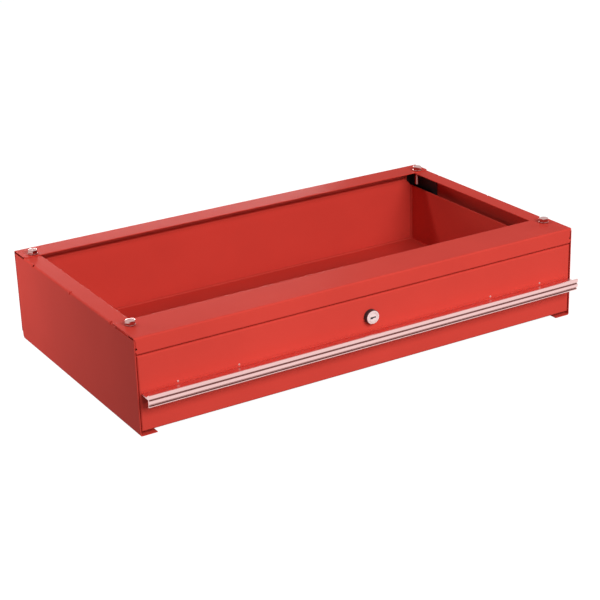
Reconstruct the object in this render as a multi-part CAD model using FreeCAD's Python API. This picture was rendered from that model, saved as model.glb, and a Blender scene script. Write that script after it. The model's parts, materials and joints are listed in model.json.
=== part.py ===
import FreeCAD, Part
import math
import os

# A lockable drawer unit that bolts under the tray of a steel service cart.
# X runs across the front, Y from front to back and Z up, in millimetres.
# The origin is on the floor, midway between the pull's outer edge and the back.

# Case, folded from painted steel sheet
case_width = 724.0
case_depth = 406.0
side_height = 138.4
sheet = 1.2
bend_radius = 1.2
side_flange_width = 26.0
foot_flange_width = 25.0
rear_flange_depth = 39.5
rail_flange_depth = 65.0
rail_face_height = 24.0
rail_lip_depth = 12.0
front_flange_gap = 5.0
rear_flange_gap = 0.5
edge_drop = 2.3
foot_corner_radius = 8.0
weld_flange_width = 15.0
rear_bottom_height = 9.0
rear_corner_radius = 6.0
overhang_inset = 0.3
relief_gap = 2.6
notch_width = 5.0
notch_reach = 4.4
notch_pitch = 131.0
strike_lip_height = 6.0
rail_tab_length = 16.0
rail_tab_top_drop = 3.6
rail_tab_height = 9.5
rail_end_gap = 0.3
rail_corner_height = 3.5

# Bolts that hang the case under a tray
bolt_side_setback = 17.0
bolt_front_setback = 44.5
bolt_rear_setback = 31.5
bolt_diameter = 8.0
bolt_thread_diameter = 7.6
bolt_hole_diameter = 9.0
bolt_length = 25.0
bolt_head_across_flats = 13.0
bolt_head_height = 5.3
bolt_corner_bevel = 0.75
washer_diameter = 14.4
washer_thickness = 2.0
washer_split = 1.5

# Drawer
front_side_gap = 1.4
seam_gap = 1.4
front_bottom = 6.2
front_return = 14.0
tray_side_top = 108.5
tray_floor_underside = 12.2
tray_rear_clearance = 1.2
tray_hem_height = 9.0
hem_inner_radius = 0.1
hem_gap = 0.2
tray_flange_inset = 2.0
tray_flange_bottom = 22.0
tray_flange_top = 96.0
back_top = 121.5
back_flange = 8.6
back_corner_width = 11.0
back_foot_clip = 3.0
back_side_clearance = 0.1
back_flange_relief = 4.5

# Channel that stiffens the drawer front behind the pull
stiffener_depth = 12.0
stiffener_bottom = 47.0
stiffener_top = 60.0
stiffener_flange = 9.0
stiffener_end_inset = 22.0

# Extruded aluminium pull, whose reach is measured from the drawer front
pull_end_inset = 2.4
pull_reach = 24.4
pull_wall = 1.8
ledge_height = 61.4
ledge_reach = 14.6
nub_height = 67.0
nub_thickness = 2.2
face_reach = 23.4
groove_reach = 21.8
groove_height = 60.0
groove_width = 1.2
groove_land = 0.6
roll_bottom = 54.2
roll_reach = 23.9
roll_top_radius = 1.1
roll_bottom_radius = 1.9
lip_top = 51.4
lip_reach = 23.0
pull_bottom = 48.5
leg_bottom = 50.5
ledge_radius = 2.4
pull_edge_radius = 0.6
groove_edge_radius = 0.3
pull_inner_radius = 1.2

# Cam lock in the middle of the drawer front
lock_height = 84.8
lock_head_diameter = 21.0
lock_head_reach = 8.0
lock_body_diameter = 18.8
lock_hole_clearance = 0.2
lock_depth = 21.5
lock_nut_across_flats = 24.0
lock_nut_thickness = 3.5
lock_nut_clearance = 0.05
plug_diameter = 12.6
plug_clearance = 0.05
cam_seat_clearance = 0.05
plug_recess = 0.3
plug_stub_width = 7.0
keyway_width = 2.0
keyway_length = 9.4
keyway_ward = 1.0
keyway_depth = 7.0
cam_reach = 36.0
cam_width = 14.0
cam_tip_width = 11.2
cam_heel_radius = 6.2
cam_tip_radius = 2.4
cam_thickness = 2.0
cam_gap = 0.3
cam_screw_across_flats = 8.0
cam_screw_head_height = 3.0
strike_clearance = 1.2

# Telescopic ball-bearing slides, one on each side
slide_thickness = 12.7
slide_height = 45.0
slide_centre_height = 60.0
slide_front_clearance = 2.0
slide_rear_setback = 40.0
slide_sheet_thickness = 1.2
slide_bend_radius = 0.8
race_radius = 1.8
race_lip = 0.9
outer_member_width = 8.6
middle_web_gap = 1.4
middle_member_width = 10.6
middle_front_inset = 3.0
middle_rear_inset = 7.0
inner_member_width = 7.5
inner_end_inset = 6.0
ball_clearance = 0.1
balls_per_row = 3
pocket_clearance = 0.05
cage_thickness = 0.6
cage_margin = 7.5
cage_web_gap = 0.4
cage_tip_gap = 0.8
cage_end_land = 8.0
bumper_height = 14.0
bumper_width = 9.6
bumper_gap = 0.3

# Bracket that carries the rear of each slide
bracket_length = 64.0
bracket_top_drop = 4.4
bracket_foot_width = 9.0

# Places that follow from the sizes above
half_width = case_width / 2
inner_half_width = half_width - sheet
front_y = (pull_reach - case_depth) / 2
rear_y = front_y + case_depth
case_top = side_height + sheet
rear_wall_y = rear_y - sheet
rail_bottom = case_top - rail_face_height
outer_bend = bend_radius + sheet
panel_y = front_y + sheet

front_half_width = inner_half_width - front_side_gap
front_top = rail_bottom - seam_gap

tray_half_width = inner_half_width - slide_thickness
tray_inner_half_width = tray_half_width - sheet
tray_floor = tray_floor_underside + sheet
tray_rear_y = rear_wall_y - sheet - tray_rear_clearance
back_y = tray_rear_y - back_flange

cam_y = front_y + lock_depth
slide_front_y = front_y + front_return + slide_front_clearance
slide_rear_y = rear_y - slide_rear_setback
slide_length = slide_rear_y - slide_front_y
drawer_travel = slide_length

Vector = FreeCAD.Vector


def block(x0, x1, y0, y1, z0, z1):
    """A box between two opposite corners."""
    return Part.makeBox(x1 - x0, y1 - y0, z1 - z0, Vector(x0, y0, z0))


def rod(radius, start, direction, length):
    """A cylinder that starts at a point and runs along a direction."""
    return Part.makeCylinder(radius, length, start, direction)


def place(a, b, plane, level):
    """The 3-D point at (a, b) in the xz, yz or xy plane at the given level."""
    if plane == "xz":
        return Vector(a, level, b)
    if plane == "yz":
        return Vector(level, a, b)
    return Vector(a, b, level)


def sweep_axis(plane):
    """The direction square to a plane."""
    return {"xz": Vector(0, 1, 0), "yz": Vector(1, 0, 0), "xy": Vector(0, 0, 1)}[plane]


def rounded_outline(points, radii, plane, level):
    """A closed wire through the points, with each corner rounded by its own radius."""
    corners = []
    for index, (a, b) in enumerate(points):
        here = Vector(a, b, 0)
        before = Vector(*points[index - 1], 0) - here
        after = Vector(*points[(index + 1) % len(points)], 0) - here
        before.normalize()
        after.normalize()
        radius = radii[index]
        if radius == 0:
            corners.append((here, here, here))
            continue
        half_angle = before.getAngle(after) / 2
        setback = radius / math.tan(half_angle)
        bisector = before + after
        bisector.normalize()
        middle = here + bisector * (radius / math.sin(half_angle) - radius)
        corners.append((here + before * setback, middle, here + after * setback))
    edges = []
    for index, (entry, middle, leave) in enumerate(corners):
        start = place(*list(corners[index - 1][2])[:2], plane, level)
        first, centre, last = (place(p.x, p.y, plane, level) for p in (entry, middle, leave))
        if start.distanceToPoint(first) > 1e-6:
            edges.append(Part.LineSegment(start, first).toShape())
        if first.distanceToPoint(last) > 1e-6:
            edges.append(Part.Arc(first, centre, last).toShape())
    return Part.Wire(edges)


def prism(points, radii, plane, start, end):
    """A solid with a rounded outline, from one level to another."""
    face = Part.Face(rounded_outline(points, radii, plane, start))
    return face.extrude(sweep_axis(plane) * (end - start))


def offset_path(path, distance):
    """The path moved sideways, to its left where the distance is positive."""
    lines = []
    for (a0, b0), (a1, b1) in zip(path, path[1:]):
        length = math.hypot(a1 - a0, b1 - b0)
        normal = ((b0 - b1) / length * distance, (a1 - a0) / length * distance)
        lines.append((a0 + normal[0], b0 + normal[1], a1 - a0, b1 - b0))
    moved = [lines[0][:2]]
    for (a0, b0, da0, db0), (a1, b1, da1, db1) in zip(lines, lines[1:]):
        turn = da0 * db1 - db0 * da1
        along = ((a1 - a0) * db1 - (b1 - b0) * da1) / turn
        moved.append((a0 + da0 * along, b0 + db0 * along))
    last = lines[-1]
    moved.append((last[0] + last[2], last[1] + last[3]))
    return moved


def folded_sheet(path, metal, inner_radii, plane, start, end):
    """Sheet metal folded along its outer skin, with the metal to the left of the path.

    A negative metal thickness puts the metal to the right. Each fold has its own inside radius.
    """
    if isinstance(inner_radii, float):
        inner_radii = [inner_radii] * (len(path) - 2)
    skin_radii, back_radii = [0], [0]
    for index, radius in enumerate(inner_radii, start=1):
        (a0, b0), (a1, b1), (a2, b2) = path[index - 1 : index + 2]
        turn = (a1 - a0) * (b2 - b1) - (b1 - b0) * (a2 - a1)
        metal_inside = turn * metal > 0
        skin_radii.append(radius + abs(metal) if metal_inside else radius)
        back_radii.append(radius if metal_inside else radius + abs(metal))
    points = path + offset_path(path, metal)[::-1]
    radii = skin_radii + [0] + (back_radii + [0])[::-1]
    return prism(points, radii, plane, start, end)


def pan(x0, x1, y0, y1, z0, z1, metal, inner_radius):
    """A shallow tray that faces the front and is open at the back."""

    def shell(inset, radius, depth):
        solid = block(x0 + inset, x1 - inset, y0 + inset, y0 + depth, z0 + inset, z1 - inset)
        rim = [e for e in solid.Edges if all(abs(v.Y - y0 - inset) < 1e-6 for v in e.Vertexes)]
        return solid.makeFillet(radius, rim)

    depth = y1 - y0
    return shell(0, inner_radius + metal, depth).cut(shell(metal, inner_radius, depth + 1))


def hexagon(across_flats, centre, thickness, plane):
    """A hexagonal prism centred on a point, which is on its first face."""
    radius = across_flats / math.sqrt(3)
    ring = [math.radians(60 * step) for step in range(6)]
    a, b, level = {
        "xy": (centre.x, centre.y, centre.z),
        "xz": (centre.x, centre.z, centre.y),
    }[plane]
    points = [(a + radius * math.cos(t), b + radius * math.sin(t)) for t in ring]
    return prism(points, [0] * 6, plane, level, level + thickness)


def both_sides(shape):
    """The left-hand piece and its mirror image on the right."""
    return shape, shape.mirror(Vector(0, 0, 0), Vector(1, 0, 0))


# Case

bolt_places = [
    (side * (half_width - bolt_side_setback), y)
    for side in (-1, 1)
    for y in (front_y + bolt_front_setback, rear_y - bolt_rear_setback)
]


def bolt_holes():
    """Tools that drill the flanges for the bolts."""
    radius = bolt_hole_diameter / 2
    start_z = case_top - 2 * sheet
    return [rod(radius, Vector(x, y, start_z), Vector(0, 0, 1), 3 * sheet) for x, y in bolt_places]


def make_side_panel():
    """The left side: a C of sheet with a foot flange, a top flange and a rear weld flange."""
    skin = [
        (foot_flange_width - half_width, 0),
        (-half_width, 0),
        (-half_width, side_height),
        (side_flange_width - half_width, side_height),
    ]
    wall_end = rear_wall_y - outer_bend
    panel = folded_sheet(skin, -sheet, bend_radius, "xz", front_y, wall_end)

    # the top flange stops between the bolts, where the front rail and the rear panel lap over it
    hole_radius = bolt_hole_diameter / 2
    flange_front = front_y + bolt_front_setback + hole_radius + front_flange_gap
    flange_rear = rear_y - bolt_rear_setback - hole_radius - rear_flange_gap
    straight_edge = side_height - edge_drop
    for y0, y1 in ((front_y - 1, flange_front), (flange_rear, rear_y)):
        panel = panel.cut(block(-half_width - 1, 0, y0, y1, straight_edge, case_top))

    # the rear weld flange, whose fold starts above the rounded lower corner
    weld_path = [
        (-half_width, wall_end - outer_bend),
        (-half_width, rear_wall_y),
        (weld_flange_width - half_width, rear_wall_y),
    ]
    weld_bottom = foot_corner_radius + relief_gap
    panel = panel.fuse(
        folded_sheet(weld_path, -sheet, bend_radius, "xy", weld_bottom, straight_edge - relief_gap)
    )
    corner_y = wall_end - foot_corner_radius
    corner = block(-half_width - 1, -inner_half_width + 1, corner_y, wall_end + 1, -1, foot_corner_radius)
    corner = corner.cut(
        rod(
            foot_corner_radius,
            Vector(-half_width - 2, corner_y, foot_corner_radius),
            Vector(1, 0, 0),
            2 * foot_corner_radius,
        )
    )
    foot_end = block(bend_radius - inner_half_width, 0, corner_y, rear_y, -1, outer_bend)
    panel = panel.cut(corner).cut(foot_end)

    # notches that cross the top fold
    notch = [
        (-half_width - sheet, side_height - notch_reach - sheet),
        (notch_reach + sheet - half_width, side_height + sheet),
        (-half_width - sheet, side_height + sheet),
    ]
    for step in (-1, 0, 1):
        start = (front_y + rear_y - notch_width) / 2 + step * notch_pitch
        panel = panel.cut(prism(notch, [0, 0, 0], "xz", start, start + notch_width))
    return panel.removeSplitter()


def make_rear_panel():
    """The back: a wall with a wide top flange that laps over the sides, and a bottom flange."""
    skin = [
        (rear_y - rear_flange_depth, case_top),
        (rear_y, case_top),
        (rear_y, rear_bottom_height),
        (rear_y - weld_flange_width, rear_bottom_height),
    ]
    half = half_width - overhang_inset
    panel = folded_sheet(skin, -sheet, bend_radius, "yz", -half, half)
    inset = weld_flange_width + relief_gap
    for side in (-1, 1):
        x0, x1 = sorted((side * (half_width - inset), side * (half_width + 1)))
        lower = rear_bottom_height + outer_bend
        panel = panel.cut(block(x0, x1, rear_y - inset, rear_y + 1, 0, lower))
        centre_y = rear_y - rear_flange_depth + rear_corner_radius
        centre = Vector(side * (half - rear_corner_radius), centre_y, side_height)
        x0, x1 = sorted((centre.x, side * (half + 1)))
        corner = block(x0, x1, centre.y - rear_corner_radius - 1, centre.y, side_height, case_top)
        panel = panel.cut(corner.cut(rod(rear_corner_radius, centre, Vector(0, 0, 1), sheet)))
    for hole in bolt_holes():
        panel = panel.cut(hole)
    return panel.removeSplitter()


def make_front_rail():
    """The rail over the drawer: a wide top flange, a face, and a strike for the lock's cam."""
    strike_depth = lock_depth - strike_clearance
    skin = [
        (front_y + rail_flange_depth, case_top - rail_lip_depth),
        (front_y + rail_flange_depth, case_top),
        (front_y, case_top),
        (front_y, rail_bottom),
        (front_y + strike_depth, rail_bottom),
        (front_y + strike_depth, rail_bottom + strike_lip_height),
    ]
    half = half_width - overhang_inset
    rail = folded_sheet(skin, sheet, bend_radius, "yz", -half, half)

    face_half = inner_half_width - rail_end_gap
    tab_top = side_height - rail_tab_top_drop
    tab_bottom = tab_top - rail_tab_height
    inner_corner = front_y + outer_bend
    for side in (-1, 1):
        # below the top fold everything stays between the side panels
        x0, x1 = sorted((side * face_half, side * (half + 1)))
        rail = rail.cut(block(x0, x1, front_y - 1, front_y + rail_flange_depth + 1, 0, case_top - outer_bend))
        # the stiffening lip clears the side panel's flange
        x0, x1 = sorted((side * (half_width - side_flange_width - relief_gap), side * (half + 1)))
        rail = rail.cut(block(x0, x1, front_y + rail_flange_depth - outer_bend, rear_y, 0, side_height))
        # the strike and the lower corner of the face clear the drawer front's gap
        x0, x1 = sorted((side * front_half_width, side * (half + 1)))
        rail = rail.cut(block(x0, x1, front_y - 1, cam_y, 0, rail_bottom + rail_corner_height))
        # a weld tab is folded back from each end of the face
        x0, x1 = sorted((side * (face_half - outer_bend), side * (half + 1)))
        tab_space = block(x0, x1, front_y - 1, cam_y, tab_bottom - relief_gap, tab_top)
        tab_path = [
            (side * (face_half - 2 * outer_bend), front_y),
            (side * face_half, front_y),
            (side * face_half, front_y + rail_tab_length),
        ]
        tab = folded_sheet(tab_path, side * sheet, bend_radius, "xy", tab_bottom, tab_top)
        rail = rail.cut(tab_space).fuse(tab)
        # the relief reaches up beside the tab's inner corner
        rail = rail.cut(block(x0, x1, inner_corner, cam_y, tab_top, side_height - sheet))
    for hole in bolt_holes():
        rail = rail.cut(hole)
    return rail.removeSplitter()


def make_bolts():
    """Hexagon bolts that stand in the flanges with their shanks down."""
    bolts = []
    under_head = case_top + washer_thickness
    down = Vector(0, 0, -1)
    for x, y in bolt_places:
        head = hexagon(bolt_head_across_flats, Vector(x, y, under_head), bolt_head_height, "xy")
        top_radius = bolt_head_across_flats / math.sqrt(3) - bolt_corner_bevel
        rounding = Part.makeCone(
            top_radius + bolt_head_height, top_radius, bolt_head_height, Vector(x, y, under_head)
        )
        shank_length = washer_thickness + sheet
        shank = rod(bolt_diameter / 2, Vector(x, y, under_head), down, shank_length)
        thread_length = bolt_length - shank_length
        thread = rod(bolt_thread_diameter / 2, Vector(x, y, under_head - shank_length), down, thread_length)
        bolts.append(head.common(rounding).fuse([shank, thread]).removeSplitter())
    return Part.makeCompound(bolts)


def make_washers():
    """A split spring washer under each bolt head, closed up by the bolt except at its split."""
    rings = []
    half_split = washer_split / 2
    reach = washer_diameter / 2 + 1
    for x, y in bolt_places:
        centre = Vector(x, y, case_top)
        disc = rod(washer_diameter / 2, centre, Vector(0, 0, 1), washer_thickness)
        bore = rod(bolt_hole_diameter / 2, centre, Vector(0, 0, 1), washer_thickness)
        split = block(
            x, x + reach, y - half_split, y + half_split, case_top - 1, case_top + washer_thickness + 1
        )
        rings.append(disc.cut(bore).cut(split))
    return Part.makeCompound(rings)


# Slides: profiles are for the left side, as distances from the case wall and from the slide's axis

slide_wall_x = -inner_half_width
middle_web = slide_sheet_thickness + middle_web_gap
outer_half_height = slide_height / 2
row_step = slide_sheet_thickness + 2 * race_radius
ball_radius = race_radius - ball_clearance
middle_half_height = outer_half_height - row_step
inner_half_height = middle_half_height - row_step
race_inset = slide_sheet_thickness + race_radius
outer_ball = (outer_member_width - race_inset, outer_half_height - race_inset)
inner_ball = (middle_member_width - race_inset, middle_half_height - race_inset)
middle_front_y = slide_front_y + middle_front_inset
middle_length = slide_length - middle_front_inset - middle_rear_inset
inner_length = slide_length - inner_end_inset
cage_length = middle_length - drawer_travel / 2 - 2 * cage_margin
cage_front_y = middle_front_y + drawer_travel / 4 + cage_margin


def slide_channel(half_path, metal, radii, y0, length):
    """A channel that is the same above and below the slide's axis."""
    path = [(slide_wall_x + u, slide_centre_height + w) for u, w in half_path]
    path += [(slide_wall_x + u, slide_centre_height - w) for u, w in half_path[::-1]]
    return folded_sheet(path, metal, radii + radii[::-1], "xz", y0, y0 + length)


def make_outer_member():
    """The channel that is welded to the case, with a race rolled into each edge."""
    half_path = [
        (outer_member_width, outer_ball[1] - race_lip),
        (outer_member_width, outer_half_height),
        (0, outer_half_height),
    ]
    radii = [race_radius, slide_bend_radius]
    return slide_channel(half_path, slide_sheet_thickness, radii, slide_front_y, slide_length)


def make_middle_member():
    """The channel that telescopes between the other two."""
    half_path = [
        (middle_member_width, inner_ball[1] - race_lip),
        (middle_member_width, middle_half_height),
        (middle_web, middle_half_height),
    ]
    radii = [race_radius, slide_bend_radius]
    return slide_channel(half_path, slide_sheet_thickness, radii, middle_front_y, middle_length)


def make_inner_member():
    """The channel that carries the drawer."""
    half_path = [
        (slide_thickness - inner_member_width, inner_half_height),
        (slide_thickness, inner_half_height),
    ]
    return slide_channel(half_path, -slide_sheet_thickness, [slide_bend_radius], slide_front_y, inner_length)


def make_cage(ball, web_u):
    """A folded strip that spaces two rows of balls, each in a square pocket."""
    centre_u, centre_w = ball
    tip_u = centre_u + race_radius - cage_tip_gap
    half_path = [(tip_u, centre_w + cage_thickness / 2), (web_u, centre_w + cage_thickness / 2)]
    cage = slide_channel(half_path, cage_thickness, [cage_thickness], cage_front_y, cage_length)
    half_pocket = ball_radius + pocket_clearance
    for centre in ball_centres(ball):
        pocket = block(
            centre.x - half_pocket, centre.x + race_radius, centre.y - half_pocket, centre.y + half_pocket,
            centre.z - cage_thickness, centre.z + cage_thickness,
        )
        cage = cage.cut(pocket)
    return cage


def ball_centres(ball):
    """Centres of the balls in the upper and lower rows of one cage."""
    first = cage_front_y + cage_end_land
    step = (cage_length - 2 * cage_end_land) / (balls_per_row - 1)
    return [
        Vector(slide_wall_x + ball[0], first + step * index, slide_centre_height + row * ball[1])
        for row in (-1, 1)
        for index in range(balls_per_row)
    ]


def make_balls(ball):
    """Two rows of bearing balls, faceted to keep them light: cubes with their edges cut to even squares."""
    side = 2 * ball_radius * (1 + math.sqrt(2)) / math.sqrt(5 + 2 * math.sqrt(2))
    chamfer = side * (1 - math.sqrt(0.5))
    corner = Vector(side, side, side) / 2
    balls = []
    for centre in ball_centres(ball):
        cube = Part.makeBox(side, side, side, centre - corner)
        balls.append(cube.makeChamfer(chamfer, cube.Edges))
    return Part.makeCompound(balls)


def make_bracket():
    """A dark plate on the case wall whose foot holds the rear of the slide down."""
    foot_height = slide_centre_height + outer_half_height
    skin = [
        (slide_wall_x + bracket_foot_width, foot_height),
        (slide_wall_x, foot_height),
        (slide_wall_x, side_height - bracket_top_drop),
    ]
    end = tray_rear_y
    return folded_sheet(skin, -sheet, bend_radius, "xz", end - bracket_length, end)


def make_bumpers():
    """Rubber stops at the back of the slides, which meet the inner members."""
    u0 = slide_wall_x + slide_sheet_thickness
    start = slide_rear_y - inner_end_inset + bumper_gap
    bumper = block(
        u0, u0 + bumper_width, start, slide_rear_y,
        slide_centre_height - bumper_height / 2, slide_centre_height + bumper_height / 2,
    )
    return Part.makeCompound(list(both_sides(bumper)))


# Drawer


def make_drawer_front():
    """The painted drawer front, folded back on all four sides."""
    front = pan(
        -front_half_width, front_half_width, front_y, front_y + front_return,
        front_bottom, front_top, sheet, bend_radius,
    )
    lock_hole = (lock_body_diameter + lock_hole_clearance) / 2
    return front.cut(rod(lock_hole, Vector(0, front_y - 1, lock_height), Vector(0, 1, 0), sheet + 2))


def make_tray():
    """Floor and sides of the drawer, from one sheet with hemmed top edges and front weld flanges."""
    inner = tray_inner_half_width
    hem = inner + 2 * sheet + hem_gap
    half_path = [
        (-hem, tray_side_top - tray_hem_height),
        (-hem, tray_side_top),
        (-inner, tray_side_top),
        (-inner, tray_floor),
    ]
    path = half_path + [(-x, z) for x, z in half_path[::-1]]
    radii = [hem_inner_radius, hem_inner_radius, bend_radius]
    tray = folded_sheet(path, -sheet, radii + radii[::-1], "xz", panel_y, tray_rear_y)
    for side in (-1, 1):
        x0, x1 = sorted((side * inner, side * (tray_half_width + 1)))
        space = block(
            x0, x1, panel_y - 1, panel_y + outer_bend,
            tray_flange_bottom - relief_gap, tray_flange_top + relief_gap,
        )
        flange_path = [
            (side * inner, panel_y + 2 * outer_bend),
            (side * inner, panel_y),
            (side * (front_half_width - sheet - tray_flange_inset), panel_y),
        ]
        flange = folded_sheet(
            flange_path, side * sheet, bend_radius, "xy", tray_flange_bottom, tray_flange_top
        )
        tray = tray.cut(space).fuse(flange)
    return tray.removeSplitter()


def make_back():
    """The back of the drawer, higher than its sides, with clipped corners and rear flanges."""
    half = tray_inner_half_width - back_side_clearance
    clip_top = half - back_corner_width

    def plate(inset, start, end):
        foot = half - back_foot_clip
        corners = [
            (-half + inset, tray_floor + back_foot_clip + inset / 2),
            (inset / 2 - foot, tray_floor + inset),
            (foot - inset / 2, tray_floor + inset),
            (half - inset, tray_floor + back_foot_clip + inset / 2),
            (half - inset, tray_side_top),
            (clip_top - inset / 2, back_top - inset),
            (inset / 2 - clip_top, back_top - inset),
            (inset - half, tray_side_top),
        ]
        return prism(corners, [0] * len(corners), "xz", start, end)

    def front_rim(solid, y):
        return [e for e in solid.Edges if all(abs(v.Y - y) < 1e-6 for v in e.Vertexes)]

    outside = plate(0, back_y, tray_rear_y)
    outside = outside.makeFillet(outer_bend, front_rim(outside, back_y))
    inside = plate(sheet, back_y + sheet, tray_rear_y + 1)
    inside = inside.makeFillet(bend_radius, front_rim(inside, back_y + sheet))
    back = outside.cut(inside)
    for side in (-1, 1):
        x0, x1 = sorted((side * (clip_top - back_corner_width), side * (half + 1)))
        gap_bottom = tray_side_top - back_flange_relief
        back = back.cut(block(x0, x1, back_y + outer_bend, tray_rear_y + 1, gap_bottom, back_top + 1))
    return back.removeSplitter()


def make_stiffener():
    """A hat channel welded behind the drawer front at the height of the pull."""
    web_y = panel_y + stiffener_depth
    skin = [
        (panel_y + sheet, stiffener_top + stiffener_flange),
        (panel_y + sheet, stiffener_top),
        (web_y, stiffener_top),
        (web_y, stiffener_bottom),
        (panel_y + sheet, stiffener_bottom),
        (panel_y + sheet, stiffener_bottom - stiffener_flange),
    ]
    half = tray_inner_half_width - stiffener_end_inset
    return folded_sheet(skin, -sheet, bend_radius, "yz", -half, half)


def make_pull():
    """The extruded pull: leg, ledge, raised nub, banded face, rounded roll and lower lip."""
    face_back = groove_reach - pull_wall
    ledge_underside = ledge_height - pull_wall
    outline = [
        ((0, ledge_height), 0),
        ((ledge_reach, ledge_height), ledge_radius),
        ((pull_reach - nub_thickness, nub_height), pull_edge_radius),
        ((pull_reach, nub_height - pull_edge_radius), pull_edge_radius),
        ((face_reach, groove_height + groove_width), groove_edge_radius),
        ((groove_reach, groove_height), groove_edge_radius),
        ((groove_reach, groove_height - groove_land), groove_edge_radius),
        ((roll_reach, groove_height - groove_width), roll_top_radius),
        ((roll_reach, roll_bottom), roll_bottom_radius),
        ((groove_reach, roll_bottom - groove_width), groove_edge_radius),
        ((groove_reach, lip_top), groove_edge_radius),
        ((lip_reach, lip_top - groove_land), groove_edge_radius),
        ((lip_reach, pull_bottom), pull_edge_radius),
        ((face_back, pull_bottom), pull_edge_radius),
        ((face_back, ledge_underside), pull_inner_radius),
        ((pull_wall, ledge_underside), pull_edge_radius),
        ((pull_wall, leg_bottom), pull_edge_radius),
        ((0, leg_bottom), 0),
    ]
    points = [(front_y - out, z) for (out, z), _ in outline]
    radii = [radius for _, radius in outline]
    half = front_half_width - pull_end_inset
    return prism(points, radii, "yz", -half, half)


# Lock

lock_axis_start = Vector(0, front_y - lock_head_reach, lock_height)
lock_inside_length = lock_depth - cam_gap
backwards = Vector(0, 1, 0)


def make_lock_body():
    """The housing: a round head in front and a threaded barrel behind the drawer front."""
    radius = lock_head_diameter / 2
    head = rod(radius, lock_axis_start, backwards, lock_head_reach)
    barrel = rod(lock_body_diameter / 2, Vector(0, front_y, lock_height), backwards, lock_inside_length)
    bore = rod(plug_diameter / 2 + plug_clearance, lock_axis_start, backwards, lock_head_reach + lock_depth)
    return head.fuse(barrel).removeSplitter().cut(bore)


def make_lock_nut():
    """The flat nut that clamps the housing to the drawer front."""
    centre = Vector(0, panel_y, lock_height)
    nut = hexagon(lock_nut_across_flats, centre, lock_nut_thickness, "xz")
    bore = rod(lock_body_diameter / 2 + lock_nut_clearance, centre, backwards, lock_nut_thickness)
    return nut.cut(bore)


def make_lock_plug():
    """The plug that the key turns, with a keyway in front and a square stub behind."""
    start = lock_axis_start + Vector(0, plug_recess, 0)
    length = lock_head_reach + lock_depth - cam_gap - plug_recess
    plug = rod(plug_diameter / 2, start, backwards, length)
    half = plug_stub_width / 2
    stub = block(-half, half, cam_y - cam_gap, cam_y + cam_thickness, lock_height - half, lock_height + half)
    keyway = block(
        -keyway_length / 2, keyway_length / 2, start.y - 1, start.y + keyway_depth,
        lock_height - keyway_width / 2, lock_height + keyway_width / 2,
    )
    ward = block(
        -keyway_length / 2, 0, start.y - 1, start.y + keyway_depth,
        lock_height - keyway_width / 2 - keyway_ward, lock_height,
    )
    return plug.fuse(stub).removeSplitter().cut(keyway.fuse(ward))


def make_cam():
    """The cam, which lies level while the drawer is unlocked and points up when it is locked."""
    heel = cam_width / 2
    tip = cam_tip_width / 2
    points = [
        (-cam_reach, lock_height - tip),
        (heel, lock_height - heel),
        (heel, lock_height + heel),
        (-cam_reach, lock_height + tip),
    ]
    radii = [cam_tip_radius, cam_heel_radius, cam_heel_radius, cam_tip_radius]
    cam = prism(points, radii, "xz", cam_y, cam_y + cam_thickness)
    seat = plug_stub_width / 2 + cam_seat_clearance
    seat_hole = block(
        -seat, seat, cam_y - 1, cam_y + cam_thickness + 1, lock_height - seat, lock_height + seat
    )
    return cam.cut(seat_hole)


def make_cam_screw():
    """The head of the screw that holds the cam on the plug."""
    seat = Vector(0, cam_y + cam_thickness, lock_height)
    return hexagon(cam_screw_across_flats, seat, cam_screw_head_height, "xz")


# All the pieces, by name

outer_cage_web = slide_sheet_thickness + cage_web_gap
inner_cage_web = middle_web + slide_sheet_thickness + cage_web_gap

pieces = {
    "rear_panel": make_rear_panel(),
    "front_rail": make_front_rail(),
    "mounting_bolts": make_bolts(),
    "bolt_washers": make_washers(),
    "slide_bumpers": make_bumpers(),
    "drawer_front": make_drawer_front(),
    "drawer_tray": make_tray(),
    "drawer_back": make_back(),
    "front_stiffener": make_stiffener(),
    "pull_handle": make_pull(),
    "lock_body": make_lock_body(),
    "lock_nut": make_lock_nut(),
    "lock_plug": make_lock_plug(),
    "lock_cam": make_cam(),
    "cam_screw": make_cam_screw(),
}
sided_pieces = {
    "side_panel": make_side_panel(),
    "slide_outer": make_outer_member(),
    "slide_middle": make_middle_member(),
    "slide_inner": make_inner_member(),
    "slide_bracket": make_bracket(),
    "outer_cage": make_cage(outer_ball, outer_cage_web),
    "inner_cage": make_cage(inner_ball, inner_cage_web),
    "outer_balls": make_balls(outer_ball),
    "inner_balls": make_balls(inner_ball),
}
for name, left_piece in sided_pieces.items():
    pieces["left_" + name], pieces["right_" + name] = both_sides(left_piece)

os.makedirs("parts", exist_ok=True)
for name, piece in pieces.items():
    piece.exportStep(f"parts/{name}.step")
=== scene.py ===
import json
import math

import bmesh
import bpy
from mathutils import Matrix, Vector


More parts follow.
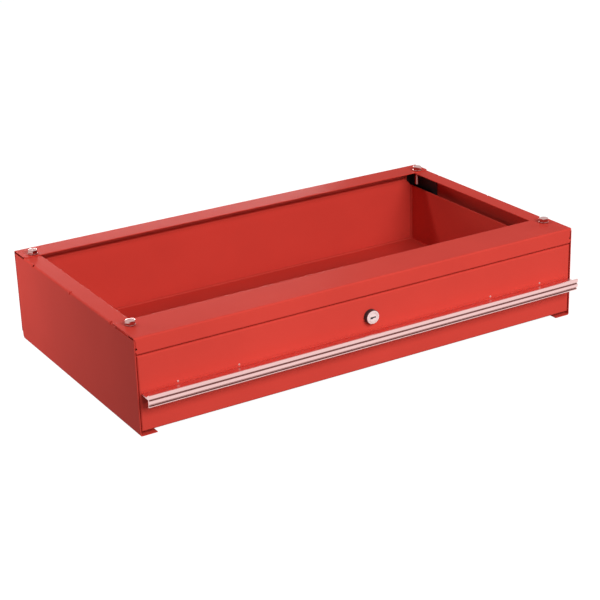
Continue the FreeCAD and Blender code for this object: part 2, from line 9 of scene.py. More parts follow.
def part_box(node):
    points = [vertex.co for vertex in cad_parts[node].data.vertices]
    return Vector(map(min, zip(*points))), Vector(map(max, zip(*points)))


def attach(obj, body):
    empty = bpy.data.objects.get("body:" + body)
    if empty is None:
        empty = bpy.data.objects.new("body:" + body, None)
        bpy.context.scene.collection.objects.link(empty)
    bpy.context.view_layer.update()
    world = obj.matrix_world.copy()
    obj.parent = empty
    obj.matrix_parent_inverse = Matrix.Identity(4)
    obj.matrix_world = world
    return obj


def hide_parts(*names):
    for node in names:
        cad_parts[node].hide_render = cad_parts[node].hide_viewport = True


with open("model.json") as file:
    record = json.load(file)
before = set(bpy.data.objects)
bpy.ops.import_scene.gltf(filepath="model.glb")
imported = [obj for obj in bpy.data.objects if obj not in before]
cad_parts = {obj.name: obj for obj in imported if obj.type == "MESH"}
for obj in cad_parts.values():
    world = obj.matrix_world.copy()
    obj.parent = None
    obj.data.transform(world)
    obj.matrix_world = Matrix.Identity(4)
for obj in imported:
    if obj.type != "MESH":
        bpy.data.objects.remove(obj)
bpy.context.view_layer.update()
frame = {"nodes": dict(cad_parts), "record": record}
millimetre = 0.001


# Camera, fitted to the photograph, with its place and sight in metres

camera_position = Vector((-1.1302, -1.9072, 0.9339))
camera_heading = math.radians(-30.65)
camera_pitch = math.radians(21.82)
camera_roll = math.radians(-1.85)
camera_sensor = 36.0
focal_length = 95.36
camera_sight = 100


# Floor and room, in metres. The two palenesses are what the camera and mirrors see, and the grey and the
# room's light are for the light that falls on things.

floor_reach = 20
floor_paleness = 0.96
floor_grey = 0.15
room_paleness = 1
room_light = 0.12


# Sizes of the pieces made here, in millimetres. A piece that takes the place of a solid has the solid's
# main sizes. Threads, chamfers, dishes, domes, rims, the pull's lower lip and its shorter leg are the
# scene's own.

# Case and drawer, where the pieces meet them

sheet = 1.2
case_top = 139.6
case_inner_x = 360.8
rear_inner_y = 214.0
front_y = -190.8
drawer_back_y = 203.0
tray_half_width = 346.9
tray_side_top = 108.5
tray_floor = 13.4

# Bolts and washers

bolt_x = 345.0
bolt_front_y = -146.3
bolt_rear_y = 183.7
bolt_turns = (27, 20, 39, 34)
bolt_radius = 4.0
bolt_thread_radius = 3.8
bolt_thread_depth = 0.2
bolt_pitch = 1.0
bolt_length = 25.0
bolt_plain_length = 3.2
bolt_thread_runout = 0.3
bolt_head_across_flats = 13.0
bolt_head_height = 5.3
bolt_cone_share = 0.47
bolt_cone_angle = 28
bolt_washer_face_share = 0.96
bolt_washer_face_height = 0.25
bolt_rim_width = 0.5
bolt_dish_radius = 1.2
bolt_dish_depth = 0.08
thread_flat_share = 0.12
washer_outer_radius = 7.2
washer_inner_radius = 4.5
washer_thickness = 2.0
washer_split = 1.5
washer_edge = 0.35

# Rivets

front_rivet_places = (-303, -211, 211, 303)
front_rivet_level = 64.8
front_rivet_radius = 1.6
front_rivet_dome = 0.8
pull_rivet_places = (-300, -150, 0, 150, 300)
pull_rivet_level = 54.5
pull_rivet_radius = 2.2
pull_rivet_dome = 0.8
slide_rivet_places = (-150, 0, 145)
slide_rivet_level = 60.0
slide_rivet_x = 349.3
slide_rivet_radius = 2.8
slide_rivet_dome = 1.2
rivet_rim_share = 0.15
rivet_sink = 0.2

# Balls of the slides

ball_radius = 1.7
balls_a_row = 3

# Lock

lock_height = 84.8
lock_head_radius = 10.5
lock_head_reach = 8.0
lock_face_radius = 9.9
lock_face_rim = 0.5
lock_face_land = 0.3
lock_face_groove_inset = 1.9
lock_face_groove_half = 0.25
lock_sleeve_setback = 1.2
lock_sleeve_edge = 0.3
lock_barrel_radius = 9.4
lock_barrel_length = 21.2
lock_bore_radius = 6.35
lock_pitch = 1.5
lock_thread_depth = 0.8
keyway_width = 9.4
keyway_height = 2.0
ward_drop = 1.0
# The black plate in the keyway is painted shade in its depth.
shade_plate_depth = 0.6
shade_plate_thickness = 3.0
shade_plate_clearance = 0.02
lock_nut_across_flats = 24.0
lock_nut_thickness = 3.5
lock_nut_bore_radius = 9.45
lock_nut_bore_chamfer = 0.5
lock_nut_cone_share = 0.475
lock_nut_cone_angle = 25

# Pull, whose reach is measured from the drawer front

pull_half_length = 357.0
pull_wall = 1.8
pull_reach = 24.4
ledge_height = 61.4
ledge_reach = 14.6
nub_height = 67.0
nub_thickness = 2.2
face_reach = 23.4
groove_reach = 21.8
groove_height = 60.0
groove_width = 1.2
groove_land = 0.6
roll_bottom = 54.2
roll_reach = 23.9
roll_top_radius = 1.1
roll_bottom_radius = 1.9
lip_top = 51.4
lower_groove_reach = 20.9
lip_reach = 23.2
lip_bottom_reach = 20.9
pull_bottom = 48.5
leg_bottom = 50.5
leg_inset = 14.0
ledge_radius = 2.4
pull_edge_radius = 0.6
groove_edge_radius = 0.3
pull_inner_radius = 1.2

# Seam beads, and the black tabs in the case's rear corners, which paint the shade there

bead_radius = 2.2
tab_width = 16.0
tab_thickness = 1.5
tab_bottom = 92.0
tab_top = 134.0
tab_corner = 2.0


# How finely round shapes are divided

quarter_steps = 6
washer_corner_steps = 4
washer_steps = 60
lock_rim_steps = 5
hexagon_points = 72
shank_points = 64
bolt_thread_points = 32
lock_points = 96
lock_thread_points = 48
rivet_points = 32
thread_rows_a_turn = 8
ball_divisions = 3
merge_distance = 0.0005


# Camera and stage


def make_camera():
    data = bpy.data.cameras.new("camera")
    data.sensor_width = camera_sensor
    data.lens = focal_length
    data.clip_end = camera_sight
    camera = bpy.data.objects.new("camera", data)
    bpy.context.scene.collection.objects.link(camera)
    turn = Matrix.Rotation(camera_heading, 4, "Z")
    tilt = Matrix.Rotation(math.pi / 2 - camera_pitch, 4, "X")
    roll = Matrix.Rotation(camera_roll, 4, "Z")
    camera.matrix_world = Matrix.Translation(camera_position) @ turn @ tilt @ roll
    bpy.context.scene.camera = camera


def seen_rays(tree):
    """One for a ray from the camera, a mirror or glass, and nought for the light that falls on things."""
    path = tree.nodes.new("ShaderNodeLightPath")
    seen = path.outputs["Is Camera Ray"]
    for kind in ("Is Glossy Ray", "Is Transmission Ray"):
        either = tree.nodes.new("ShaderNodeMath")
        either.operation = "MAXIMUM"
        tree.links.new(seen, either.inputs[0])
        tree.links.new(path.outputs[kind], either.inputs[1])
        seen = either.outputs[0]
    return seen


def make_floor():
    """A grey floor for the light that falls on things, which the camera and mirrors see nearly white."""
    mesh = bpy.data.meshes.new("floor")
    low, high = -floor_reach, floor_reach
    mesh.from_pydata([(low, low, 0), (high, low, 0), (high, high, 0), (low, high, 0)], [], [(0, 1, 2, 3)])
    floor = bpy.data.objects.new("floor", mesh)
    bpy.context.scene.collection.objects.link(floor)
    material = bpy.data.materials.new("floor")
    material.use_nodes = True
    tree = material.node_tree
    tree.nodes.clear()
    output = tree.nodes.new("ShaderNodeOutputMaterial")
    matt = tree.nodes.new("ShaderNodeBsdfDiffuse")
    matt.inputs["Color"].default_value = (floor_grey, floor_grey, floor_grey, 1)
    glow = tree.nodes.new("ShaderNodeEmission")
    level = tree.nodes.new("ShaderNodeMath")
    level.operation = "MULTIPLY"
    level.inputs[1].default_value = floor_paleness
    both = tree.nodes.new("ShaderNodeAddShader")
    tree.links.new(seen_rays(tree), level.inputs[0])
    tree.links.new(level.outputs[0], glow.inputs["Strength"])
    tree.links.new(matt.outputs[0], both.inputs[0])
    tree.links.new(glow.outputs[0], both.inputs[1])
    tree.links.new(both.outputs[0], output.inputs["Surface"])
    mesh.materials.append(material)


def make_world():
    """A room that the camera and mirrors see white, and that lights things only faintly."""
    world = bpy.data.worlds.new("studio")
    world.use_nodes = True
    tree = world.node_tree
    tree.nodes.clear()
    output = tree.nodes.new("ShaderNodeOutputWorld")
    mix = tree.nodes.new("ShaderNodeMixShader")
    tree.links.new(seen_rays(tree), mix.inputs["Fac"])
    for socket, strength in ((mix.inputs[1], room_light), (mix.inputs[2], room_paleness)):
        white = tree.nodes.new("ShaderNodeBackground")
        white.inputs["Color"].default_value = (1, 1, 1, 1)
        white.inputs["Strength"].default_value = strength
        tree.links.new(white.outputs[0], socket)
    tree.links.new(mix.outputs[0], output.inputs["Surface"])
    bpy.context.scene.world = world


def make_lamp(name, position, width, height, level, in_reflections=False):
    """A flat soft box that looks at the object, with its place and size in metres.

    At level 1, a surface that faces it shows its own colour. Most lamps stay out of reflections, so that
    metal shows the pale room and no white spots.
    """
    position = Vector(position)
    data = bpy.data.lights.new(name, "AREA")
    data.shape = "RECTANGLE"
    data.size = width
    data.size_y = height
    data.energy = (math.pi * position.length) ** 2 * level
    lamp = bpy.data.objects.new(name, data)
    lamp.location = position
    lamp.rotation_euler = (-position).to_track_quat("-Z", "Y").to_euler()
    lamp.visible_camera = False
    lamp.visible_glossy = in_reflections
    bpy.context.scene.collection.objects.link(lamp)


def make_lamps():
    make_lamp("key_lamp", (0.2, -2.7, 1.75), width=1.8, height=1.5, level=0.92)
    make_lamp("front_lamp", (0.2, -2.9, 0.3), width=1.8, height=0.3, level=0.15)
    make_lamp("top_lamp", (-1.3, 1.1, 2.2), width=0.4, height=0.4, level=0.27)
    make_lamp("left_lamp", (-0.9, 0.6, 0.24), width=0.4, height=0.2, level=0.34)
    make_lamp("right_lamp", (2.6, 0.3, 0.5), width=1.0, height=0.8, level=0.3)
    make_lamp("back_lamp", (0.9, 2.5, 0.5), width=1.2, height=0.8, level=0.46, in_reflections=True)


# Materials, with their depths and radii in metres


class Finish:
    """A material and the short calls that its nodes need."""

    def __init__(self, name):
        self.material = bpy.data.materials.new(name)
        self.material.use_nodes = True
        self.tree = self.material.node_tree
        self.shader = self.tree.nodes["Principled BSDF"]
        self.place = self.tree.nodes.new("ShaderNodeTexCoord").outputs["Object"]

    def link(self, start, end):
        self.tree.links.new(start, end)

    def stretched(self, x, y, z):
        node = self.tree.nodes.new("ShaderNodeMapping")
        node.inputs["Scale"].default_value = (x, y, z)
        self.link(self.place, node.inputs["Vector"])
        return node.outputs[0]

    def noise(self, scale, detail, place=None):
        node = self.tree.nodes.new("ShaderNodeTexNoise")
        node.inputs["Scale"].default_value = scale
        node.inputs["Detail"].default_value = detail
        self.link(place or self.place, node.inputs["Vector"])
        return node.outputs["Fac"]

    def spread(self, value, low, high, to_low=0, to_high=1):
        node = self.tree.nodes.new("ShaderNodeMapRange")
        node.inputs["From Min"].default_value = low
        node.inputs["From Max"].default_value = high
        node.inputs["To Min"].default_value = to_low
        node.inputs["To Max"].default_value = to_high
        self.link(value, node.inputs["Value"])
        return node.outputs[0]

    def blend(self, factor, first, second):
        """A colour between two others, each of which is a tuple or a socket."""
        node = self.tree.nodes.new("ShaderNodeMix")
        node.data_type = "RGBA"
        factor_in, first_in, second_in = (node.inputs[index] for index in (0, 6, 7))
        for socket, color in ((first_in, first), (second_in, second)):
            if isinstance(color, tuple):
                socket.default_value = (*color, 1)
            else:
                self.link(color, socket)
        self.link(factor, factor_in)
        return node.outputs[2]

    def recesses(self, distance):
        """One on open faces, falling towards nought in grooves."""
        node = self.tree.nodes.new("ShaderNodeAmbientOcclusion")
        node.only_local = True
        node.samples = 8
        node.inputs["Distance"].default_value = distance
        return node.outputs["AO"]

    def bump(self, height, strength, distance, under=None):
        node = self.tree.nodes.new("ShaderNodeBump")
        node.inputs["Strength"].default_value = strength
        node.inputs["Distance"].default_value = distance
        self.link(height, node.inputs["Height"])
        if under is not None:
            self.link(under, node.inputs["Normal"])
        return node.outputs[0]

    def rounded_edges(self, radius):
        node = self.tree.nodes.new("ShaderNodeBevel")
        node.samples = 4
        node.inputs["Radius"].default_value = radius
        return node.outputs[0]

    def set(self, **values):
        """Set inputs of the shader by name, each to a number, a colour or a socket."""
        for name, value in values.items():
            socket = self.shader.inputs[name.replace("_", " ").title().replace("Ior", "IOR")]
            if isinstance(value, tuple):
                socket.default_value = (*value, 1)
            elif isinstance(value, (int, float)):
                socket.default_value = value
            else:
                self.link(value, socket)


def painted_red():
    """Smooth enamel under a thin gloss: faint mottling, orange peel, and sheet that isn't quite flat."""
    paint = Finish("red_paint")
    mottle = paint.spread(paint.noise(scale=9, detail=3), low=0.35, high=0.65)
    specks = paint.spread(paint.noise(scale=900, detail=2), low=0.62, high=0.78)
    color = paint.blend(mottle, (0.58, 0.05, 0.036), (0.61, 0.053, 0.038))
    color = paint.blend(specks, color, (0.62, 0.058, 0.042))
    edges = paint.rounded_edges(radius=0.0006)
    waves = paint.bump(paint.noise(scale=7, detail=1), strength=0.15, distance=0.004, under=edges)
    peel = paint.bump(paint.noise(scale=420, detail=2), strength=0.08, distance=0.0004, under=waves)
    roughness = paint.spread(paint.noise(scale=60, detail=3), low=0.3, high=0.7, to_low=0.45, to_high=0.55)
    paint.set(base_color=color, roughness=roughness, specular_ior_level=0, normal=peel)
    paint.set(coat_weight=0.1, coat_roughness=0.22, coat_normal=peel)
    return paint.material


def painted_black():
    paint = Finish("black_paint")
    clouds = paint.noise(scale=300, detail=3)
    color = paint.blend(clouds, (0.018, 0.019, 0.021), (0.032, 0.032, 0.035))
    edges = paint.rounded_edges(radius=0.0004)
    skin = paint.bump(paint.noise(scale=700, detail=3), strength=0.3, distance=0.0004, under=edges)
    gloss = paint.spread(paint.noise(scale=90, detail=2), low=0.3, high=0.7, to_low=0.42, to_high=0.58)
    paint.set(base_color=color, roughness=gloss, normal=skin)
    return paint.material


def brushed_aluminium():
    """A satin extrusion with fine draw lines along its length. Its pink tint is a painted reflection of the
    red paint, and painted shade darkens its grooves and recesses.
    """
    metal = Finish("pull_aluminium")
    lines = metal.noise(scale=1, detail=3, place=metal.stretched(12, 2600, 2600))
    # The pink tint of these colours is a painted reflection of the red paint round the pull.
    bright = metal.blend(lines, (0.8, 0.52, 0.5), (0.88, 0.6, 0.58))
    # Painted shade: the colour falls to a dark brown in the pull's grooves and recesses, where shade falls.
    painted_groove_shade = metal.spread(metal.recesses(distance=0.007), low=0.55, high=0.97)
    color = metal.blend(painted_groove_shade, (0.34, 0.15, 0.14), bright)
    gloss = metal.spread(lines, low=0.3, high=0.7, to_low=0.28, to_high=0.36)
    grain = metal.bump(lines, strength=0.04, distance=0.0002)
    metal.set(base_color=color, metallic=1, roughness=gloss, normal=grain)
    return metal.material


def satin_nickel():
    metal = Finish("lock_nickel")
    grain = metal.noise(scale=1400, detail=3)
    # The pink tint of the nickel is a painted reflection of the red paint round the lock.
    color = metal.blend(grain, (0.8, 0.62, 0.61), (0.88, 0.69, 0.68))
    gloss = metal.spread(metal.noise(scale=500, detail=2), low=0.3, high=0.7, to_low=0.2, to_high=0.32)
    edges = metal.rounded_edges(radius=0.0003)
    skin = metal.bump(grain, strength=0.1, distance=0.0002, under=edges)
    metal.set(base_color=color, metallic=1, roughness=gloss, normal=skin)
    return metal.material


def plated(name, dark, pale, smoothest, roughest, edge_radius):
    """Bright zinc or steel with cloudy plating and fine handling marks."""
    metal = Finish(name)
    clouds = metal.spread(metal.noise(scale=160, detail=4), low=0.35, high=0.65)
    color = metal.blend(clouds, dark, pale)
    marks = metal.noise(scale=420, detail=3)
    gloss = metal.spread(marks, low=0.3, high=0.7, to_low=smoothest, to_high=roughest)
    edges = metal.rounded_edges(edge_radius)
    skin = metal.bump(metal.noise(scale=1200, detail=3), strength=0.03, distance=0.0002, under=edges)
    metal.set(base_color=color, metallic=1, roughness=gloss, normal=skin)
    return metal.material


def zinc_fasteners():
    """Bright zinc with a pink tone, as in the photograph: a painted reflection of the red paint round the
    fasteners.
    """
    return plated(
        "zinc_fasteners", dark=(0.46, 0.25, 0.235), pale=(0.6, 0.35, 0.33),
        smoothest=0.06, roughest=0.1, edge_radius=0.0001,
    )


def zinc_slides():
    return plated(
        "zinc_slides", dark=(0.5, 0.51, 0.53), pale=(0.64, 0.65, 0.66),
        smoothest=0.25, roughest=0.4, edge_radius=0.0003,
    )


def cage_steel():
    return plated(
        "cage_steel", dark=(0.34, 0.33, 0.32), pale=(0.46, 0.45, 0.43),
        smoothest=0.3, roughest=0.45, edge_radius=0.0002,
    )


def ball_steel():
    return plated(
        "ball_steel", dark=(0.66, 0.66, 0.67), pale=(0.74, 0.74, 0.75),
        smoothest=0.05, roughest=0.1, edge_radius=0.0001,
    )


def black_rubber():
    rubber = Finish("bumper_rubber")
    color = rubber.blend(rubber.noise(scale=500, detail=3), (0.014, 0.014, 0.015), (0.03, 0.03, 0.031))
    edges = rubber.rounded_edges(radius=0.0004)
    skin = rubber.bump(rubber.noise(scale=1500, detail=3), strength=0.4, distance=0.0003, under=edges)
    rubber.set(base_color=color, roughness=0.75, normal=skin)
    return rubber.material


finishes = {
    "red_paint": painted_red(),
    "black_paint": painted_black(),
    "pull_aluminium": brushed_aluminium(),
    "lock_nickel": satin_nickel(),
    "zinc_fasteners": zinc_fasteners(),
    "zinc_slides": zinc_slides(),
    "cage_steel": cage_steel(),
    "ball_steel": ball_steel(),
    "bumper_rubber": black_rubber(),
}

for entry in frame["record"]["subparts"]:
    mesh = frame["nodes"][entry["node"]].data
    mesh.materials.clear()
    mesh.materials.append(finishes[entry["material_slot"]])


# Mesh helpers; turned shapes are made round the z axis and then set in place


def finish_piece(name, bm, body, slot, replaced=(), smooth_angle=35):
    """Turn a mesh in millimetres into a piece that rides on a body."""
    bmesh.ops.remove_doubles(bm, verts=bm.verts, dist=merge_distance)
    bmesh.ops.recalc_face_normals(bm, faces=bm.faces)
    bm.transform(Matrix.Scale(millimetre, 4))
    limit = math.radians(smooth_angle)
    for face in bm.faces:
        face.smooth = True
    for edge in bm.edges:
        if len(edge.link_faces) == 2 and edge.calc_face_angle() > limit:
            edge.smooth = False
    mesh = bpy.data.meshes.new(name)
    bm.to_mesh(mesh)
    bm.free()
    piece = bpy.data.objects.new(name, mesh)
    bpy.context.scene.collection.objects.link(piece)
    mesh.materials.append(finishes[slot])
    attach(piece, body)
    if replaced:
        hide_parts(*replaced)


def ring(bm, radius, height, count):
    """A ring of points; radius may be a number or a function of the angle, and so may height."""
    points = []
    for index in range(count):
        angle = 2 * math.pi * index / count
        r = radius(angle) if callable(radius) else radius
        z = height(angle) if callable(height) else height
        points.append(bm.verts.new((r * math.cos(angle), r * math.sin(angle), z)))
    return points


def bridge(bm, lower, upper):
    """Faces between two rings or sections with as many points each."""
    count = len(lower)
    for index in range(count):
        after = (index + 1) % count
        bm.faces.new((lower[index], lower[after], upper[after], upper[index]))


def cap(bm, points):
    """Close a ring with a fan of triangles round its middle."""
    middle = sum((point.co for point in points), Vector()) / len(points)
    centre = bm.verts.new(middle)
    count = len(points)
    for index in range(count):
        bm.faces.new((centre, points[index], points[(index + 1) % count]))


def lathe(bm, profile, count):
    """The skin of a turned shape from (radius, height) points; gives its rings."""
    rings = [ring(bm, radius, height, count) for radius, height in profile]
    for lower, upper in zip(rings, rings[1:]):
        bridge(bm, lower, upper)
    return rings


def swept_section(bm, sections):
    """Join closed sections, given as lists of points, and close the two ends."""
    rows = [[bm.verts.new(point) for point in section] for section in sections]
    for first, second in zip(rows, rows[1:]):
        bridge(bm, first, second)
    bm.faces.new(rows[0])
    bm.faces.new(rows[-1])


def rounded_corner(radius, height, size, steps):
    """Points down a quarter round at the upper outer corner of a turned profile."""
    points = []
    for index in reversed(range(steps + 1)):
        angle = math.radians(90 * index / steps)
        points.append((radius + size * math.cos(angle), height + size * math.sin(angle)))
    return points


def rounded_outline(corners):
    """Points round a closed outline given as ((a, b), radius) corners, with an arc at each rounded corner."""
    points = []
    count = len(corners)
    for index, (corner, radius) in enumerate(corners):
        here = Vector(corner)
        if radius == 0:
            points.append(here)
            continue
        before = (Vector(corners[index - 1][0]) - here).normalized()
        after = (Vector(corners[(index + 1) % count][0]) - here).normalized()
        half = before.angle(after) / 2
        centre = here + (before + after).normalized() * radius / math.sin(half)
        start = here + before * radius / math.tan(half) - centre
        sweep = start.angle_signed(here + after * radius / math.tan(half) - centre)
        for step in range(quarter_steps + 1):
            angle = math.atan2(start.y, start.x) - sweep * step / quarter_steps
            points.append(centre + Vector((math.cos(angle), math.sin(angle))) * radius)
    return points


def threaded_rod(bm, crest, depth, pitch, top, length, count):
    """A rod with a helical thread, from top down, chamfered at its end; gives the ring of the open end."""
    rows = int(length / pitch * thread_rows_a_turn)
    rings = []
    for row in range(rows + 1):
        z = top - length * row / rows
        from_end = length - (top - z)
        points = []
        for index in range(count):
            angle = 2 * math.pi * index / count
            phase = (z / pitch + index / count) % 1
            tooth = 1 - abs(2 * phase - 1)
            tooth = min(1, max(0, (tooth - thread_flat_share) / (1 - 2 * thread_flat_share)))
            radius = min(crest - depth * (1 - tooth), crest - depth + from_end)
            points.append(bm.verts.new((radius * math.cos(angle), radius * math.sin(angle), z)))
        rings.append(points)
    for lower, upper in zip(rings, rings[1:]):
        bridge(bm, lower, upper)
    return rings[-1]


def move_since(bm, start, matrix):
    """Set in place the points made since there were start of them."""
    bm.verts.ensure_lookup_table()
    for vert in bm.verts[start:]:
        vert.co = matrix @ vert.co


def facing_front(x, y, z):
    """The matrix that turns z towards the front and sets a shape at a place."""
    return Matrix.Translation((x, y, z)) @ Matrix.Rotation(math.pi / 2, 4, "X")


def hexagon_radius(across_flats):
    """A function of the angle that gives the radius of a hexagon."""
    half = across_flats / 2
    sixth = math.pi / 3

    def radius(angle):
        return half / math.cos((angle + sixth / 2) % sixth - sixth / 2)

    return radius


def cone_drop(outline, turned_radius, slope_angle):
    """A function of the angle that gives the fall of a turned cone out to the edge of a hexagon."""
    slope = math.tan(math.radians(slope_angle))

    def drop(angle):
        return max(0.0, outline(angle) - turned_radius) * slope

    return drop


# Bolts, washers and rivets


def add_bolt_head(bm):
    """A hexagon head with a cone-turned and slightly dished top, standing on its washer face."""
    outline = hexagon_radius(bolt_head_across_flats)
    turned = bolt_head_across_flats * bolt_cone_share
    washer_face = bolt_head_across_flats / 2 * bolt_washer_face_share
    drop = cone_drop(outline, turned, bolt_cone_angle)

    def top_edge(angle):
        return bolt_head_height - drop(angle)

    rings = lathe(bm, [
        (washer_face, 0),
        (washer_face, bolt_washer_face_height),
        (outline, bolt_washer_face_height),
        (outline, top_edge),
        (turned, bolt_head_height),
        (turned - bolt_rim_width, bolt_head_height),
        (bolt_dish_radius, bolt_head_height - bolt_dish_depth),
    ], hexagon_points)
    cap(bm, rings[-1])
    cap(bm, rings[0])


def add_bolt_shank(bm):
    """The plain neck under the head and the thread below it."""
    top = -bolt_plain_length - bolt_thread_runout
    neck = [(bolt_radius, 0), (bolt_radius, -bolt_plain_length), (bolt_thread_radius, top)]
    lathe(bm, neck, shank_points)
    length = bolt_length + top
    tip = threaded_rod(
        bm, bolt_thread_radius, bolt_thread_depth, bolt_pitch, top, length, bolt_thread_points
    )
    cap(bm, tip)


def make_bolts():
    bm = bmesh.new()
    places = [(x, y) for y in (bolt_front_y, bolt_rear_y) for x in (-bolt_x, bolt_x)]
    for (x, y), degrees in zip(places, bolt_turns):
        start = len(bm.verts)
        add_bolt_head(bm)
        add_bolt_shank(bm)
        turn = Matrix.Rotation(math.radians(degrees), 4, "Z")
        move_since(bm, start, Matrix.Translation((x, y, case_top + washer_thickness)) @ turn)
    finish_piece("flange_bolts", bm, "case", "zinc_fasteners", ["mounting_bolts"])


def washer_profile():
    """The section of a spring washer as (radius, height) points."""
    outer = washer_outer_radius - washer_edge
    shoulder = washer_thickness - washer_edge
    inside = [(washer_inner_radius, 0), (washer_inner_radius, shoulder)]
    inside.append((washer_inner_radius + washer_edge, washer_thickness))
    corner = rounded_corner(outer, shoulder, washer_edge, washer_corner_steps)
    return inside + corner + [(washer_outer_radius, washer_edge), (outer, 0)]


def make_washers():
    bm = bmesh.new()
    profile = washer_profile()
    half_split = math.asin(washer_split / 2 / washer_outer_radius)
    for x in (-bolt_x, bolt_x):
        for y in (bolt_front_y, bolt_rear_y):
            sections = []
            for index in range(washer_steps + 1):
                angle = half_split + (2 * math.pi - 2 * half_split) * index / washer_steps
                direction = Vector((math.cos(angle), math.sin(angle), 0))
                sections.append([
                    direction * radius + Vector((x, y, case_top + height)) for radius, height in profile
                ])
            swept_section(bm, sections)
    finish_piece("flange_washers", bm, "case", "zinc_fasteners", ["bolt_washers"])


def add_rivet_head(bm, radius, dome, matrix):
    """A domed rivet head that stands on its place along z, with a small flat on top."""
    start = len(bm.verts)
    profile = []
    for index in range(1, quarter_steps + 1):
        angle = math.pi / 2 * (1 - index / quarter_steps)
        share = rivet_rim_share + (1 - rivet_rim_share) * math.sin(angle)
        profile.append((radius * math.cos(angle), dome * share))
    profile.append((radius, -rivet_sink))
    rings = lathe(bm, profile, rivet_points)
    cap(bm, rings[0])
    move_since(bm, start, matrix)


def make_front_rivets():
    """The four small rivets above the pull."""
    bm = bmesh.new()
    for x in front_rivet_places:
        place = facing_front(x, front_y, front_rivet_level)
        add_rivet_head(bm, front_rivet_radius, front_rivet_dome, place)
    finish_piece("front_rivets", bm, "drawer", "pull_aluminium")


def make_pull_rivets():
    """Rivet heads on the leg of the pull, under its ledge."""
    bm = bmesh.new()
    for x in pull_rivet_places:
        place = facing_front(x, front_y - pull_wall, pull_rivet_level)
        add_rivet_head(bm, pull_rivet_radius, pull_rivet_dome, place)
    finish_piece("pull_rivets", bm, "drawer", "zinc_fasteners")


def make_slide_rivets():
    """Domed rivets inside the inner slide members, which they hold to the drawer's sides."""
    bm = bmesh.new()
    for side in (-1, 1):
        for y in slide_rivet_places:
            place = Matrix.Translation((side * slide_rivet_x, y, slide_rivet_level))
            outwards = Matrix.Rotation(side * math.pi / 2, 4, "Y")
            add_rivet_head(bm, slide_rivet_radius, slide_rivet_dome, place @ outwards)
    finish_piece("slide_rivets", bm, "drawer", "zinc_fasteners")


# Balls of the slides


def ball_centres(low, high):
    """Evenly spaced places of the balls of an upper and a lower row, which fill the box from low to high."""
    x = (low[0] + high[0]) / 2 / millimetre
    first = low[1] / millimetre + ball_radius
    last = high[1] / millimetre - ball_radius
    centres = []
    for z in (low[2] / millimetre + ball_radius, high[2] / millimetre - ball_radius):
        for index in range(balls_a_row):
            share = index / (balls_a_row - 1)
            centres.append(Vector((x, first + share * (last - first), z)))
    return centres


def make_ball_rows():
    """Round balls in place of the faceted ones."""
    for side in ("left", "right"):
        for row in ("outer", "inner"):
            node = f"{side}_{row}_balls"
            bm = bmesh.new()
            low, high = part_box(node)
            for centre in ball_centres(low, high):
                place = Matrix.Translation(centre)
                bmesh.ops.create_icosphere(bm, subdivisions=ball_divisions, radius=ball_radius, matrix=place)
            finish_piece(f"{side}_{row}_ball_row", bm, f"{side}_{row}_bearing", "ball_steel", [node])


# Lock


def make_lock_sleeve():
    """The dark sleeve round the head."""
    front = lock_head_reach - lock_sleeve_setback
    bm = bmesh.new()
    lathe(bm, [
        (lock_barrel_radius, 0),
        (lock_head_radius - lock_sleeve_edge, 0),
        (lock_head_radius, lock_sleeve_edge),
        (lock_head_radius, front - lock_sleeve_edge),
        (lock_head_radius - lock_sleeve_edge, front),
        (lock_bore_radius, front),
    ], lock_points)
    bm.transform(facing_front(0, front_y, lock_height))
    finish_piece("lock_sleeve", bm, "drawer", "black_paint")


def lock_face_profile():
    """The bright face round the plug, with a fine groove and a turned rim, as (radius, height) points."""
    back = lock_head_reach - lock_sleeve_setback
    face = lock_head_reach
    groove = lock_face_radius - lock_face_groove_inset
    inside_rim = lock_face_radius - lock_face_rim
    rim = rounded_corner(inside_rim, face - lock_face_rim, lock_face_rim, lock_rim_steps)
    return [
        (lock_bore_radius, back),
        (lock_bore_radius, face - lock_face_land),
        (lock_bore_radius + lock_face_land, face),
        (groove - lock_face_groove_half, face),
        (groove, face - lock_face_groove_half),
        (groove + lock_face_groove_half, face),
        *rim,
        (lock_face_radius, back),
        (lock_bore_radius, back),
    ]


def make_lock_housing():
    """The bright face of the head and the threaded barrel behind it."""
    bm = bmesh.new()
    lathe(bm, lock_face_profile(), lock_points)
    end = threaded_rod(
        bm, lock_barrel_radius, lock_thread_depth, lock_pitch, 0, lock_barrel_length, lock_thread_points
    )
    bore_end = ring(bm, lock_bore_radius, -lock_barrel_length, lock_thread_points)
    bridge(bm, end, bore_end)
    bridge(bm, bore_end, ring(bm, lock_bore_radius, 0, lock_thread_points))
    bm.transform(facing_front(0, front_y, lock_height))
    finish_piece("lock_housing", bm, "drawer", "lock_nickel", ["lock_body"])


def make_keyway_shade_plate():
    """A black plate just behind the face of the plug, across the keyway: painted shade in the keyway's depth.
    """
    right = keyway_width / 2 - shade_plate_clearance
    top = keyway_height / 2 - shade_plate_clearance
    outline = [
        (-right, -top - ward_drop), (0, -top - ward_drop), (0, -top),
        (right, -top), (right, top), (-right, top),
    ]
    front = front_y - lock_head_reach + shade_plate_depth
    bm = bmesh.new()
    sections = []
    for y in (front, front + shade_plate_thickness):
        sections.append([Vector((x, y, lock_height + z)) for x, z in outline])
    swept_section(bm, sections)
    finish_piece("keyway_shade_plate", bm, "lock", "black_paint")


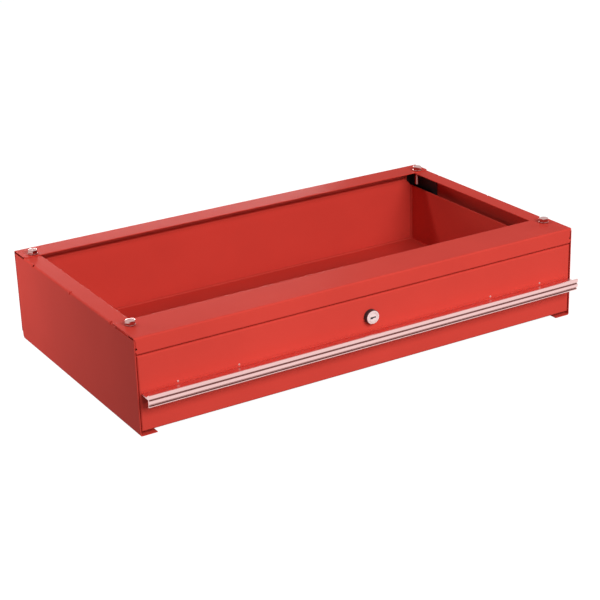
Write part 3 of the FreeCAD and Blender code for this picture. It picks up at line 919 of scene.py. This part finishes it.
def make_lock_nut():
    """A flat nut with both faces turned to a cone and a chamfered bore, on the back of the drawer front."""
    outline = hexagon_radius(lock_nut_across_flats)
    turned = lock_nut_across_flats * lock_nut_cone_share
    low_edge = cone_drop(outline, turned, lock_nut_cone_angle)

    def high_edge(angle):
        return lock_nut_thickness - low_edge(angle)

    bm = bmesh.new()
    rings = lathe(bm, [
        (lock_nut_bore_radius, lock_nut_bore_chamfer),
        (lock_nut_bore_radius + lock_nut_bore_chamfer, 0),
        (turned, 0),
        (outline, low_edge),
        (outline, high_edge),
        (turned, lock_nut_thickness),
        (lock_nut_bore_radius + lock_nut_bore_chamfer, lock_nut_thickness),
        (lock_nut_bore_radius, lock_nut_thickness - lock_nut_bore_chamfer),
    ], hexagon_points)
    bridge(bm, rings[-1], rings[0])
    facing_back = Matrix.Rotation(-math.pi / 2, 4, "X")
    bm.transform(Matrix.Translation((0, front_y + sheet, lock_height)) @ facing_back)
    finish_piece("lock_ring_nut", bm, "drawer", "zinc_fasteners", ["lock_nut"])


# Pull, seams and tabs


def make_pull():
    """The pull: ledge, raised nub, banded face, rounded roll and lower lip, and the leg it is fixed by."""
    face_back = groove_reach - pull_wall
    underside = ledge_height - pull_wall
    body = [
        ((0, ledge_height), 0),
        ((ledge_reach, ledge_height), ledge_radius),
        ((pull_reach - nub_thickness, nub_height), pull_edge_radius),
        ((pull_reach, nub_height - pull_edge_radius), pull_edge_radius),
        ((face_reach, groove_height + groove_width), groove_edge_radius),
        ((groove_reach, groove_height), groove_edge_radius),
        ((groove_reach, groove_height - groove_land), groove_edge_radius),
        ((roll_reach, groove_height - groove_width), roll_top_radius),
        ((roll_reach, roll_bottom), roll_bottom_radius),
        ((lower_groove_reach, roll_bottom - groove_width), groove_edge_radius),
        ((lower_groove_reach, lip_top), groove_edge_radius),
        ((lip_reach, lip_top - groove_land), groove_edge_radius),
        ((lip_bottom_reach, pull_bottom), groove_edge_radius),
        ((face_back, pull_bottom), pull_edge_radius),
        ((face_back, underside), pull_inner_radius),
        ((0, underside), 0),
    ]
    leg = [
        ((0, underside), 0),
        ((pull_wall, underside), 0),
        ((pull_wall, leg_bottom), pull_edge_radius),
        ((0, leg_bottom), 0),
    ]
    bm = bmesh.new()
    for corners, half in ((body, pull_half_length), (leg, pull_half_length - leg_inset)):
        outline = rounded_outline(corners)
        swept_section(bm, [[Vector((x, front_y - out, z)) for out, z in outline] for x in (-half, half)])
    finish_piece("pull_extrusion", bm, "drawer", "pull_aluminium", ["pull_handle"], smooth_angle=25)


def seam_bead(first_edge, second_edge, corner):
    """The section of a hollow bead in a corner; the edges are the directions of its two walls."""
    centre = corner + (first_edge + second_edge) * bead_radius
    section = [corner]
    for index in range(quarter_steps + 1):
        angle = math.pi / 2 * index / quarter_steps
        along_first = first_edge * bead_radius * math.sin(angle)
        along_second = second_edge * bead_radius * math.cos(angle)
        section.append(centre - along_first - along_second)
    return section


def make_seams():
    """Thin beads of painted filler where the drawer's back stands on its floor and between its sides."""
    up = Vector((0, 0, 1))
    forward = Vector((0, -1, 0))
    bm = bmesh.new()
    ends = (-tray_half_width + bead_radius, tray_half_width - bead_radius)
    swept_section(bm, [seam_bead(forward, up, Vector((x, drawer_back_y, tray_floor))) for x in ends])
    for side in (-1, 1):
        inwards = Vector((-side, 0, 0))
        corners = [Vector((side * tray_half_width, drawer_back_y, z)) for z in (tray_floor, tray_side_top)]
        swept_section(bm, [seam_bead(forward, inwards, corner) for corner in corners])
    finish_piece("tray_seams", bm, "drawer", "red_paint")


def make_rear_shade_tabs():
    """Black tabs inside the rear corners of the case: painted shade where the gap behind the drawer's back
    lies dark.
    """
    bm = bmesh.new()
    near = case_inner_x - tab_width
    outline = [
        (near, tab_bottom + tab_corner), (near + tab_corner, tab_bottom), (case_inner_x, tab_bottom),
        (case_inner_x, tab_top), (near + tab_corner, tab_top), (near, tab_top - tab_corner),
    ]
    for side in (-1, 1):
        sections = []
        for y in (rear_inner_y - tab_thickness, rear_inner_y):
            sections.append([Vector((side * x, y, z)) for x, z in outline])
        swept_section(bm, sections)
    finish_piece("rear_shade_tabs", bm, "case", "black_paint")


make_camera()
make_floor()
make_world()
make_lamps()
make_bolts()
make_washers()
make_front_rivets()
make_pull()
make_pull_rivets()
make_slide_rivets()
make_seams()
make_rear_shade_tabs()
make_ball_rows()
make_lock_sleeve()
make_lock_housing()
make_keyway_shade_plate()
make_lock_nut()

bpy.context.scene.view_settings.view_transform = "Standard"
